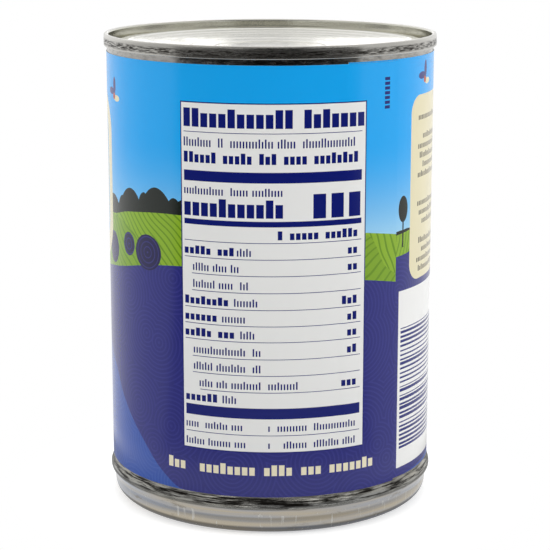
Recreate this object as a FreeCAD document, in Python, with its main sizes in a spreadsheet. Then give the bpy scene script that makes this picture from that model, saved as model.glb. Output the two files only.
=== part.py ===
"""A drawn steel food can with a seamed-on end and a paper label wrapped round its wall.

The can stands on the XY plane with its axis on Z, and the front of the label faces -Y.
Every driving size is a cell of the sheet "Sizes", in millimetres or degrees, and every
sketch, pad and placement is bound to those cells.
"""

import FreeCAD, Part
import math
import os
import re

import Sketcher

MODEL = FreeCAD.newDocument("FoodCan")

SIZES = {
    # The can as a whole
    "can_height": (105.7, "floor to the top of the rim"),
    "body_radius": (36.5, "outside of the straight wall"),
    "body_sheet": (0.20, "steel of the drawn body"),
    "end_sheet": (0.22, "steel of the end"),
    # The double seam
    "seam_height": (2.75, "rim down to the seam's lower edge"),
    "seam_slack": (0.01, "free play between the seam's layers"),
    "rim_round": (0.45, "rounding over the top of the rim"),
    "hook_round": (0.28, "rounding under the seam"),
    "hook_clearance": (0.20, "free space past the tip of each hook"),
    # The end's countersink and panel, as depths below the rim
    "sink_depth": (3.60, "rim to the bottom of the countersink"),
    "sink_width": (1.30, "countersink from chuck wall to panel wall"),
    "sink_round": (0.45, "rounding at the bottom of the countersink"),
    "panel_lean": (0.30, "how far the panel wall leans in"),
    "panel_round": (0.60, "rounding over the panel's edge"),
    "crest_depth": (2.15, "rim to the raised ring round the panel"),
    "crest_width": (3.20, "flat of the raised ring"),
    "crest_slope": (2.60, "width of its inner slope"),
    "outer_depth": (2.60, "rim to the panel's outer floor"),
    "outer_ring": (18.4, "radius of the outer expansion step"),
    "middle_depth": (2.90, "rim to the panel's middle floor"),
    "inner_ring": (13.2, "radius of the inner expansion step"),
    "centre_depth": (3.20, "rim to the panel's centre"),
    "ring_step": (0.45, "width of each expansion step"),
    "ring_round": (0.50, "rounding of the expansion steps"),
    # The rolling bead and the stacking band below the straight wall
    "bead_reach": (0.65, "bead beyond the straight wall"),
    "bead_shoulder": (0.60, "height of the bead's upper flank"),
    "bead_land": (1.40, "height between the bead's two flanks"),
    "bead_flank": (1.30, "height of the bead's lower flank"),
    "bead_round": (1.20, "rounding of the bead's upper edge"),
    "bead_belly": (2.00, "rounding of the bead's lower edge"),
    "bead_fillet": (0.40, "fillet where the bead meets its neighbours"),
    "band_height": (5.30, "floor to the foot of the bead"),
    "band_inset": (0.25, "band behind the straight wall, at its top"),
    "band_taper": (0.15, "how much further in the band is at its foot"),
    # The base
    "base_round": (3.00, "large rounding from the band to the foot"),
    "foot_width": (1.20, "flat of the standing ring"),
    "foot_round": (0.70, "rounding inside the standing ring"),
    "base_lean": (0.60, "how far the wall inside the ring leans in"),
    "base_rise": (2.20, "floor to the underside's outer panel"),
    "base_ring": (21.0, "radius of the underside's expansion step"),
    "base_dome": (0.50, "height of that step"),
    "base_slope": (1.20, "width of that step"),
    "base_fillet": (0.60, "rounding of the underside's corners"),
    # The label
    "paper": (0.12, "thickness of the label"),
    "glue_line": (0.03, "glue between the two layers of the lap"),
    "lap_angle": (47.5, "degrees from the front to the lap's outer edge"),
    "lap_width": (13.5, "overlap along the wall"),
    "lap_ramp": (2.0, "length over which the sheet climbs onto its own start"),
    "label_foot": (0.20, "clearance between bead and label"),
    "label_neck": (1.25, "bare wall between label and seam"),
}

# Places that more than one sub-part uses, as rules written in the sheet's words.
CHUCK_RADIUS = "body_radius - body_sheet - end_sheet"
SEAM_RADIUS = "body_radius + end_sheet + body_sheet + seam_slack + end_sheet"
SINK_RADIUS = CHUCK_RADIUS + " - sink_width"
CREST_RADIUS = SINK_RADIUS + " - panel_lean"
SLOPE_RADIUS = CREST_RADIUS + " - crest_width"
FLOOR_RADIUS = SLOPE_RADIUS + " - crest_slope"
FOOT_RADIUS = "body_radius - band_inset - band_taper - base_round"
BEAD_TOP = "band_height + bead_flank + bead_land + bead_shoulder"


def make_sheet():
    """Writes each size into a cell of its own, with its name as the cell's alias."""
    sheet = MODEL.addObject("Spreadsheet::Sheet", "Sizes")
    for row, (word, (number, note)) in enumerate(SIZES.items(), start=1):
        sheet.set(f"A{row}", word)
        sheet.set(f"B{row}", str(number))
        sheet.set(f"C{row}", note)
        sheet.setAlias(f"B{row}", word)
    MODEL.recompute()
    return sheet


SHEET = make_sheet()


def bound(rule):
    """Turns a rule in the sheet's words into an expression that FreeCAD can bind."""
    return re.sub(r"[a-z_]+", lambda found: f"Sizes.{found[0]}" if found[0] in SIZES else found[0], rule)


def size_of(rule):
    """The number that a rule gives with the sheet as it stands."""
    return float(SHEET.evalExpression(bound(rule)))


def origin_plane(body, role):
    """One of the body's own origin planes, found by its role."""
    return next(item for item in body.Origin.OriginFeatures if item.Role == role)


def new_sketch(body, name, role):
    """An empty sketch on one of the body's origin planes."""
    sketch = body.newObject("Sketcher::SketchObject", name)
    sketch.AttachmentSupport = [(origin_plane(body, role), "")]
    sketch.MapMode = "FlatFace"
    return sketch


def bind(sketch, constraint, rule):
    """Adds a dimension to the sketch and binds it to a rule."""
    index = sketch.addConstraint(constraint)
    sketch.setExpression(f"Constraints[{index}]", bound(rule))


def pin_point(sketch, geometry, end, across, up):
    """Fixes one point of a sketch at two rules, or on an axis where a rule is plain zero."""
    point = (-1, 1, geometry, end)
    if across == "0":
        sketch.addConstraint(Sketcher.Constraint("PointOnObject", geometry, end, -2))
    else:
        bind(sketch, Sketcher.Constraint("DistanceX", *point, size_of(across)), across)
    if up == "0":
        sketch.addConstraint(Sketcher.Constraint("PointOnObject", geometry, end, -1))
    else:
        bind(sketch, Sketcher.Constraint("DistanceY", *point, size_of(up)), up)


def rounding(before, corner, after, radius):
    """Where an arc that rounds a corner starts and ends, its centre and whether it turns left."""
    towards = (before - corner).normalize()
    onwards = (after - corner).normalize()
    half = towards.getAngle(onwards) / 2
    reach = radius / math.tan(half)
    middle = (towards + onwards).normalize()
    centre = corner + middle * (radius / math.sin(half))
    turns_left = onwards.cross(towards).z > 0
    return corner + towards * reach, corner + onwards * reach, centre, turns_left


def draw_outline(sketch, corners):
    """Draws a closed outline of straight lines through corners given as rules.

    Each corner is (across, up, radius). Where radius is None the corner is sharp; elsewhere
    an arc of that radius rounds it, tangent to both lines, and a construction point keeps
    the corner itself in its place.
    """
    places = [FreeCAD.Vector(size_of(across), size_of(up), 0) for across, up, _ in corners]
    count = len(corners)
    starts, ends, arcs = list(places), list(places), {}
    for index, (_, _, radius) in enumerate(corners):
        if radius is not None:
            around = (places[index - 1], places[index], places[(index + 1) % count])
            ends[index], starts[index], centre, turns_left = rounding(*around, size_of(radius))
            arcs[index] = (centre, turns_left)
    lines = []
    for index in range(count):
        line = Part.LineSegment(starts[index], ends[(index + 1) % count])
        lines.append(sketch.addGeometry(line, False))
    for index, (across, up, radius) in enumerate(corners):
        arriving, leaving = lines[index - 1], lines[index]
        if radius is None:
            sketch.addConstraint(Sketcher.Constraint("Coincident", arriving, 2, leaving, 1))
            pin_point(sketch, leaving, 1, across, up)
            continue
        centre, turns_left = arcs[index]
        first, last = (ends[index], starts[index]) if turns_left else (starts[index], ends[index])
        circle = Part.Circle(centre, FreeCAD.Vector(0, 0, 1), size_of(radius))
        angles = [math.atan2(spot.y - centre.y, spot.x - centre.x) for spot in (first, last)]
        arc = sketch.addGeometry(Part.ArcOfCircle(circle, *angles), False)
        corner = sketch.addGeometry(Part.Point(places[index]), True)
        pin_point(sketch, corner, 1, across, up)
        arc_start, arc_end = (1, 2) if turns_left else (2, 1)
        sketch.addConstraint([
            Sketcher.Constraint("PointOnObject", corner, 1, arriving),
            Sketcher.Constraint("PointOnObject", corner, 1, leaving),
            Sketcher.Constraint("Tangent", arriving, 2, arc, arc_start),
            Sketcher.Constraint("Tangent", arc, arc_end, leaving, 1),
        ])
        bind(sketch, Sketcher.Constraint("Radius", arc, size_of(radius)), radius)


def revolve(body, sketch):
    """Turns the sketch once round the can's axis."""
    turned = body.newObject("PartDesign::Revolution", sketch.Name + "Turned")
    turned.Profile = sketch
    turned.ReferenceAxis = (sketch, ["V_Axis"])
    turned.Angle = 360
    sketch.Visibility = False


def under_panel(rim):
    """The underside of the end's panel, from the countersink in to the axis.

    The end rests on the filled body along this line, so both outlines hold it.
    """
    below = f"{rim} - end_sheet"
    return [
        (SINK_RADIUS + " - end_sheet", f"{below} - sink_depth", None),
        (CREST_RADIUS + " - end_sheet", f"{below} - crest_depth", None),
        (SLOPE_RADIUS, f"{below} - crest_depth", None),
        (FLOOR_RADIUS, f"{below} - outer_depth", None),
        ("outer_ring", f"{below} - outer_depth", None),
        ("outer_ring - ring_step", f"{below} - middle_depth", None),
        ("inner_ring", f"{below} - middle_depth", None),
        ("inner_ring - ring_step", f"{below} - centre_depth", None),
        ("0", f"{below} - centre_depth", None),
    ]


def make_can_body():
    """The drawn body with its contents: base, stacking band, rolling bead, wall and flange.

    A shut can has no space to see into, so the body is solid up to the end's underside.
    """
    body = MODEL.addObject("PartDesign::Body", "CanBody")
    body.Label = "can_body"
    sketch = new_sketch(body, "BodyOutline", "XZ_Plane")
    band_foot = "body_radius - band_inset - band_taper"
    foot_inside = FOOT_RADIUS + " - foot_width"
    bead_radius = "body_radius + bead_reach"
    hook_inside = "body_radius + end_sheet"
    hook_outside = "body_radius + end_sheet + body_sheet"
    hook_tip = "can_height - seam_height + end_sheet + hook_clearance"
    flange_top = "can_height - end_sheet"
    flange_under = "can_height - end_sheet - body_sheet"
    underside = [
        ("0", "base_rise + base_dome", None),
        ("base_ring", "base_rise + base_dome", "base_fillet"),
        ("base_ring + base_slope", "base_rise", "base_fillet"),
        (foot_inside + " - base_lean", "base_rise", "base_fillet"),
        (foot_inside, "0", "foot_round"),
    ]
    band_and_bead = [
        (band_foot, "0", "base_round"),
        ("body_radius - band_inset", "band_height", "bead_fillet"),
        (bead_radius, "band_height + bead_flank", "bead_belly"),
        (bead_radius, "band_height + bead_flank + bead_land", "bead_round"),
        ("body_radius", BEAD_TOP, "bead_fillet"),
    ]
    flange_and_hook = [
        ("body_radius", flange_under, None),
        (hook_inside, flange_under, None),
        (hook_inside, hook_tip, None),
        (hook_outside, hook_tip, None),
        (hook_outside, flange_top, None),
        ("body_radius - body_sheet", flange_top, None),
        ("body_radius - body_sheet", "can_height - end_sheet - sink_depth", None),
    ]
    draw_outline(sketch, underside + band_and_bead + flange_and_hook + under_panel("can_height"))
    revolve(body, sketch)
    return body


def make_can_end():
    """The end: a panel with expansion rings, a countersink, the chuck wall and the seam.

    It is one sheet throughout. Past the rim it comes down outside the body's hook and turns
    up behind it, so that the two hooks hold each other. Its own zero is the top of the rim.
    """
    body = MODEL.addObject("PartDesign::Body", "CanEnd")
    body.Label = "can_end"
    body.setExpression("Placement.Base.z", bound("can_height"))
    sketch = new_sketch(body, "EndOutline", "XZ_Plane")
    wall_inside = SEAM_RADIUS + " - end_sheet"
    panel_top = [
        ("0", "-centre_depth", None),
        ("inner_ring - ring_step", "-centre_depth", "ring_round"),
        ("inner_ring", "-middle_depth", "ring_round"),
        ("outer_ring - ring_step", "-middle_depth", "ring_round"),
        ("outer_ring", "-outer_depth", "ring_round"),
        (FLOOR_RADIUS, "-outer_depth", None),
        (SLOPE_RADIUS, "-crest_depth", None),
        (CREST_RADIUS, "-crest_depth", "panel_round"),
    ]
    countersink_and_rim = [
        (SINK_RADIUS, "-sink_depth", "sink_round"),
        (CHUCK_RADIUS, "-sink_depth", "sink_round"),
        (CHUCK_RADIUS, "0", "rim_round"),
        (SEAM_RADIUS, "0", "rim_round"),
    ]
    seam_and_hook = [
        (SEAM_RADIUS, "-seam_height", "hook_round"),
        ("body_radius", "-seam_height", "hook_round"),
        ("body_radius", "-end_sheet - body_sheet - hook_clearance", None),
        ("body_radius + end_sheet", "-end_sheet - body_sheet - hook_clearance", None),
        ("body_radius + end_sheet", "end_sheet - seam_height", None),
        (wall_inside, "end_sheet - seam_height", None),
        (wall_inside, "-end_sheet", None),
        (CHUCK_RADIUS + " + end_sheet", "-end_sheet", None),
        (CHUCK_RADIUS + " + end_sheet", "-sink_depth - end_sheet", None),
    ]
    draw_outline(sketch, panel_top + countersink_and_rim + seam_and_hook + under_panel("0"))
    revolve(body, sketch)
    return body


def draw_loop(sketch, spots):
    """Draws a closed loop round the can's axis, anticlockwise through spots given as rules.

    Each spot is (radius, angle, wrapped). The stretch on to the next spot is an arc about
    the axis where wrapped is true, and a straight line elsewhere.
    """
    rules = [(f"{radius} * cos({angle})", f"{radius} * sin({angle})") for radius, angle, _ in spots]
    places = [FreeCAD.Vector(size_of(across), size_of(up), 0) for across, up in rules]
    stretches = []
    for index, (radius, angle, wrapped) in enumerate(spots):
        following = (index + 1) % len(spots)
        if wrapped:
            first, last = (math.radians(size_of(spots[spot][1])) for spot in (index, following))
            last += math.tau if last < first else 0
            circle = Part.Circle(FreeCAD.Vector(), FreeCAD.Vector(0, 0, 1), size_of(radius))
            stretch = sketch.addGeometry(Part.ArcOfCircle(circle, first, last), False)
            bind(sketch, Sketcher.Constraint("Radius", stretch, size_of(radius)), radius)
        else:
            line = Part.LineSegment(places[index], places[following])
            stretch = sketch.addGeometry(line, False)
        stretches.append(stretch)
    for index, (across, up) in enumerate(rules):
        arriving, leaving = stretches[index - 1], stretches[index]
        sketch.addConstraint(Sketcher.Constraint("Coincident", arriving, 2, leaving, 1))
        pin_point(sketch, leaving, 1, across, up)


def make_paper_label():
    """The label: one sheet wrapped once round the wall and glued down on its own start.

    The glued lap is one thickness of two layers. The sheet climbs onto it over a short ramp
    and ends in the lap's outer edge. Angles start at +X, so the front is at -90 degrees.
    """
    body = MODEL.addObject("PartDesign::Body", "PaperLabel")
    body.Label = "paper_label"
    body.setExpression("Placement.Base.z", bound(BEAD_TOP + " + label_foot"))
    sketch = new_sketch(body, "LabelOutline", "XY_Plane")
    finish = "(lap_angle - 90)"
    ramp_head = f"({finish} - lap_width / body_radius * 180 / pi)"
    ramp_foot = f"({ramp_head} - lap_ramp / body_radius * 180 / pi)"
    one_layer = "(body_radius + paper)"
    two_layers = "(body_radius + 2 * paper + glue_line)"
    outside = [
        (one_layer, finish, True),
        (one_layer, ramp_foot, False),
        (two_layers, ramp_head, True),
        (two_layers, finish, False),
    ]
    inside = [("body_radius", angle, True) for angle in (finish, ramp_foot, ramp_head)]
    draw_loop(sketch, outside)
    draw_loop(sketch, inside)
    sheet = body.newObject("PartDesign::Pad", "LabelSheet")
    sheet.Profile = sketch
    height = f"can_height - seam_height - label_neck - ({BEAD_TOP} + label_foot)"
    sheet.setExpression("Length", bound(height))
    sketch.Visibility = False
    return body


def check(pieces):
    """Stops if any object failed to build, or a piece is missing or not one sound solid."""
    for item in MODEL.Objects:
        if "Invalid" in item.State or "Error" in item.State:
            raise RuntimeError(f"{item.Label} did not build: {item.State}")
    for piece in pieces:
        if piece.Shape.isNull() or not piece.Shape.isValid() or len(piece.Shape.Solids) != 1:
            raise RuntimeError(f"{piece.Label} is not one valid solid")


def write(pieces):
    """Writes each piece to a file named by its label."""
    os.makedirs("parts", exist_ok=True)
    for piece in pieces:
        piece.Shape.exportStep(f"parts/{piece.Label}.step")
        print(f"{piece.Label}: {piece.Shape.Volume:.1f} mm3")


PIECES = [make_can_body(), make_can_end(), make_paper_label()]
MODEL.recompute()
check(PIECES)
write(PIECES)
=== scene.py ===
import math
import random

import bpy
import numpy as np
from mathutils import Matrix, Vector


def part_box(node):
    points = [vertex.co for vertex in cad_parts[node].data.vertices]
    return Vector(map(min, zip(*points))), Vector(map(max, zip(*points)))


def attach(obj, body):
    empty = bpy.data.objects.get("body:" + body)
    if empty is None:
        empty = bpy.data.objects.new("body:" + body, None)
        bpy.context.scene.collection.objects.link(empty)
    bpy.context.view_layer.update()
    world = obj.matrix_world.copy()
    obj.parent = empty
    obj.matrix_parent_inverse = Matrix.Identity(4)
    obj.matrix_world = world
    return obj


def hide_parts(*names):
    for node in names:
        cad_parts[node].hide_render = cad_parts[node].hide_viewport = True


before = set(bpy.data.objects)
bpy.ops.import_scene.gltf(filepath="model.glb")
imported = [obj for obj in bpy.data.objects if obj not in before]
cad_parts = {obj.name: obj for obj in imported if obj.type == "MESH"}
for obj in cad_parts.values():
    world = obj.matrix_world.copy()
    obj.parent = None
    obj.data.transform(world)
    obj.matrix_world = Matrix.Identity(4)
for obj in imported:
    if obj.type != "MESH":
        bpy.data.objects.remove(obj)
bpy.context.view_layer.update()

# A sealed steel food can: a drawn body with a rolling bead and a stacking band, a seamed end and a
# printed paper label wound round the wall. Lengths are in millimetres until a mesh is made.

MM = 0.001
BODY_LOW, BODY_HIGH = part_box("can_body")
END_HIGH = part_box("can_end")[1]
LABEL_LOW, LABEL_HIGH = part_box("paper_label")

# Overall sizes, taken from the solids.
FLOOR_HEIGHT = BODY_LOW.z / MM
CAN_HEIGHT = END_HIGH.z / MM
BEAD_RADIUS = BODY_HIGH.x / MM
SEAM_RADIUS = END_HIGH.x / MM
LABEL_FOOT = LABEL_LOW.z / MM
LABEL_HEIGHT = (LABEL_HIGH.z - LABEL_LOW.z) / MM

# The body's wall, and the neck that the seam is rolled over.
WALL_RADIUS = 36.5
WALL_FOOT = 9.4
NECK_RADIUS = 36.34
NECK_FOOT = 101.0
NECK_TOP = 105.0
BODY_TOP = 101.6

# The end: its sheet, the radii across it and the depths below the rim.
END_SHEET = 0.22
CHUCK_RADIUS = 36.08
SINK_RADIUS = 34.78
CREST_RADIUS = 34.48
SINK_DEPTH = 3.60
CREST_DEPTH = 1.92
SEAM_HEIGHT = 2.75
SEAM_INSIDE = WALL_RADIUS + 0.02
HOOK_TOP = 0.9

# The label: its paper, the glue and the clearance under it, and its lap, which ends LAP_OUTER
# degrees round from the front. The strip is wound askew by SKEW from one end to the other, and its
# outer edge stands off by LIFTED_EDGE over the last LIFT_WIDTH.
PAPER = 0.12
GLUE_LINE = 0.03
LABEL_CLEARANCE = 0.004
LAP_OUTER = 47.5
LAP_WIDTH = 13.5
LAP_RAMP = 2.0
LIFTED_EDGE = 0.05
LIFT_WIDTH = 2.5
SKEW = 0.3

# How finely meshes are divided: steps round a turned piece, the longest along it, and the strip's.
TURNS = 480
BODY_PACE = 0.3
WALL_PACE = 20
END_PACE = 1.0
LABEL_COLUMNS = 440
LABEL_ROWS = 40
SHARP_EDGE = math.radians(38)

SHEET_MAP = "Sheet"


# ---------------------------------------------------------------- shapes

def rounded(corners, pace):
    """Points (radius, height) along a line of corners (radius, height, fillet).

    Each fillet is an arc, and straight runs are divided so that no step is longer than the pace.
    """
    spots = [(Vector(corners[0][:2]), Vector(corners[0][:2]))]
    arcs = [[Vector(corners[0][:2])]]
    for before, corner, after in zip(corners, corners[1:], corners[2:]):
        here = Vector(corner[:2])
        back = (Vector(before[:2]) - here).normalized()
        ahead = (Vector(after[:2]) - here).normalized()
        turn = math.pi - back.angle(ahead)
        if corner[2] == 0 or turn < 0.01:
            arcs.append([here])
            continue
        reach = corner[2] * math.tan(turn / 2)
        centre = here + (back + ahead).normalized() * corner[2] / math.cos(turn / 2)
        start = here + back * reach - centre
        end = here + ahead * reach - centre
        parts = max(3, math.ceil(turn / math.radians(9)))
        sweep = math.atan2(start.cross(end), start.dot(end))
        arc = []
        for part in range(parts + 1):
            angle = sweep * part / parts
            cos, sin = math.cos(angle), math.sin(angle)
            turned = Vector((start.x * cos - start.y * sin, start.x * sin + start.y * cos))
            arc.append(centre + turned)
        arcs.append(arc)
    arcs.append([Vector(corners[-1][:2])])
    line = [arcs[0][0]]
    for arc in arcs[1:]:
        run = arc[0] - line[-1]
        parts = max(1, math.ceil(run.length / pace))
        line += [line[-1] + run * (part / parts) for part in range(1, parts + 1)]
        line += arc[1:]
    return [(spot.x, spot.y) for spot in line]


def make_object(name, points, faces, materials):
    """A smooth mesh from points in millimetres, with the materials in its slots."""
    mesh = bpy.data.meshes.new(name)
    mesh.from_pydata([(x * MM, y * MM, z * MM) for x, y, z in points], [], faces)
    mesh.shade_smooth()
    mesh.set_sharp_from_angle(angle=SHARP_EDGE)
    for material in materials:
        mesh.materials.append(material)
    piece = bpy.data.objects.new(name, mesh)
    bpy.context.scene.collection.objects.link(piece)
    return piece


def lathe(name, line, shape, materials, slot_of):
    """A closed skin turned about the axis from a line that starts and ends on it.

    shape(radius, height, angles) gives the radii round the turn, and slot_of(radius, height) the
    material slot of the band of faces that ends there.
    """
    angles = np.linspace(0, 2 * math.pi, TURNS, endpoint=False)
    points = [(0, 0, line[0][1])]
    faces = []
    slots = []
    for step, (radius, height) in enumerate(line[1:-1]):
        radii = shape(radius, height, angles)
        points += list(zip(radii * np.sin(angles), -radii * np.cos(angles), [height] * TURNS))
        first = 1 + step * TURNS
        for turn in range(TURNS):
            beside = (turn + 1) % TURNS
            if step == 0:
                faces.append((0, first + beside, first + turn))
            else:
                below = first - TURNS
                faces.append((below + turn, below + beside, first + beside, first + turn))
            slots.append(slot_of(radius, height))
    points.append((0, 0, line[-1][1]))
    last = len(points) - 1
    for turn in range(TURNS):
        faces.append((last - TURNS + turn, last - TURNS + (turn + 1) % TURNS, last))
        slots.append(slot_of(*line[-1]))
    piece = make_object(name, points, faces, materials)
    piece.data.polygons.foreach_set("material_index", slots)
    return piece


def true_round(radius, height, angles):
    """The end's radii: the same all round."""
    return np.full(len(angles), radius)


# Wear on the bead and the stacking band, which keeps outside WORN_RADIUS and below WORN_TOP: sine
# ripples, deepest at the bead's middle height, and handling dents as degrees round from the front,
# height, depth, half-width round the can and half-height.
WORN_RADIUS = 35.5
WORN_TOP = 9
BEAD_MIDDLE = 7.3
BEAD_SPREAD = 1.3
RIPPLES = 14
RIPPLE_DEPTH = 0.16
DENTS = [
    (-51, 7.6, 0.26, 2.6, 0.9), (-36, 7.9, 0.12, 2.0, 0.6), (-12, 6.9, 0.10, 1.8, 0.5),
    (4, 7.1, 0.18, 2.2, 0.7), (10, 6.3, 0.16, 1.5, 0.5), (21, 7.5, 0.22, 2.6, 0.8),
    (33, 7.0, 0.12, 3.0, 0.6), (58, 7.4, 0.15, 3.5, 0.7), (96, 7.2, 0.18, 3.0, 0.8),
    (143, 7.0, 0.14, 2.4, 0.7), (178, 7.6, 0.20, 2.8, 0.8), (214, 7.1, 0.12, 2.0, 0.6),
    (262, 7.4, 0.16, 3.2, 0.8),
]


def knocked(radius, height, angles):
    """The body's radii: even, but for ripples and dents where the bead has rolled and knocked."""
    radii = true_round(radius, height, angles)
    if radius < WORN_RADIUS or height > WORN_TOP:
        return radii
    bead = math.exp(-((height - BEAD_MIDDLE) / BEAD_SPREAD) ** 2)
    waves = random.Random(7)
    ripple = np.zeros(len(angles))
    for _ in range(RIPPLES):
        rounds = waves.randint(7, 95)
        ripple += math.sin(height * waves.uniform(0.6, 2.4) + waves.uniform(0, 6)) * np.sin(
            rounds * angles + waves.uniform(0, 6)) * 0.3 / math.sqrt(rounds)
    radii -= (ripple + 0.30) * RIPPLE_DEPTH * bead
    for degrees, up, depth, half_width, half_height in DENTS:
        off = (angles - math.radians(degrees) + math.pi) % (2 * math.pi) - math.pi
        across = off * WALL_RADIUS / half_width
        radii -= depth * np.exp(-across ** 2 - ((height - up) / half_height) ** 2)
    return np.minimum(radii, BEAD_RADIUS)


def smooth_step(value, start, end):
    """A smooth rise from 0 to 1 between start and end."""
    share = min(1, max(0, (value - start) / (end - start)))
    return share * share * (3 - 2 * share)


def wind_label(materials):
    """The label: one strip of paper from its glued end, once round the can and over itself.

    It is wound a little askew, so the glued end stands higher than the lap that covers it.
    """
    columns, rows = LABEL_COLUMNS, LABEL_ROWS
    inner_end = LAP_OUTER - math.degrees(LAP_WIDTH / WALL_RADIUS)
    ramp_end = 360 + inner_end
    ramp_start = ramp_end - math.degrees(LAP_RAMP / WALL_RADIUS)
    outer_end = 360 + LAP_OUTER
    lift_start = outer_end - math.degrees(LIFT_WIDTH / WALL_RADIUS)
    points = []
    corners = []
    for outside in (True, False):
        for column in range(columns + 1):
            degrees = inner_end + (outer_end - inner_end) * column / columns
            radius = WALL_RADIUS + LABEL_CLEARANCE
            radius += (PAPER + GLUE_LINE) * smooth_step(degrees, ramp_start, ramp_end)
            radius += LIFTED_EDGE * smooth_step(degrees, lift_start, outer_end) ** 2
            radius += PAPER * outside
            angle = math.radians(degrees)
            for row in range(rows + 1):
                up = LABEL_HEIGHT * row / rows
                skewed = LABEL_FOOT + up + SKEW * (1 - column / columns)
                points.append((radius * math.sin(angle), -radius * math.cos(angle), skewed))
                corners.append((column / columns, row / rows))
    side = (columns + 1) * (rows + 1)
    faces = []
    slots = []
    for column in range(columns):
        for row in range(rows):
            low = column * (rows + 1) + row
            high = low + rows + 1
            faces.append((low, high, high + 1, low + 1))
            faces.append((side + low, side + low + 1, side + high + 1, side + high))
            slots += [0, 1]
        for row, flip in ((0, False), (rows, True)):
            low = column * (rows + 1) + row
            high = low + rows + 1
            edge = (low, side + low, side + high, high)
            faces.append(edge[::-1] if flip else edge)
            slots.append(1)
    for column, flip in ((0, True), (columns, False)):
        for row in range(rows):
            low = column * (rows + 1) + row
            edge = (low, side + low, side + low + 1, low + 1)
            faces.append(edge if flip else edge[::-1])
            slots.append(1)
    piece = make_object("Printed_paper_label", points, faces, materials)
    piece.data.polygons.foreach_set("material_index", slots)
    layer = piece.data.uv_layers.new(name=SHEET_MAP)
    for loop in piece.data.loops:
        layer.data[loop.index].uv = corners[loop.vertex_index]
    return piece


# ---------------------------------------------------------------- materials

MATH = "ShaderNodeMath"
VECTOR = "ShaderNodeVectorMath"
MAP = "ShaderNodeMapRange"
MIX = "ShaderNodeMix"
NOISE = "ShaderNodeTexNoise"
WHITE = "#FFFFFF"

# Tinplate: how the tint drifts and how fine the pale ticks are, both to a metre along x, y and z,
# the ticks' colour, and how much rougher the darker blotches and the ticks are. The blotches are
# worn places, but on the bead they are painted shade.
TINT_DRIFT = (25, 25, 500)
TICK_MARKS = (1500, 1500, 150)
TICK_COLOUR = "#E6E5E0"
WEAR_AND_SHADE_ROUGHER = 0.18
TICK_ROUGHER = 0.4


def linear(colour):
    """An sRGB hex colour as linear RGBA."""
    parts = [int(colour[place:place + 2], 16) / 255 for place in (1, 3, 5)]
    return [part / 12.92 if part <= 0.04045 else ((part + 0.055) / 1.055) ** 2.4
            for part in parts] + [1]


def add(tree, kind, inputs=(), **settings):
    """Adds a node with its settings. Inputs go to the sockets in order, or by a socket's key."""
    made = tree.nodes.new(kind)
    for name, value in settings.items():
        setattr(made, name, value)
    pairs = inputs.items() if isinstance(inputs, dict) else enumerate(inputs)
    for key, value in pairs:
        if isinstance(value, bpy.types.Node):
            value = value.outputs[0]
        if isinstance(value, bpy.types.NodeSocket):
            tree.links.new(value, made.inputs[key])
        elif value is not None:
            made.inputs[key].default_value = value
    return made


def new_material(name):
    """A material without nodes, and its tree."""
    material = bpy.data.materials.new(name)
    material.use_nodes = True
    material.node_tree.nodes.clear()
    return material, material.node_tree


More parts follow.
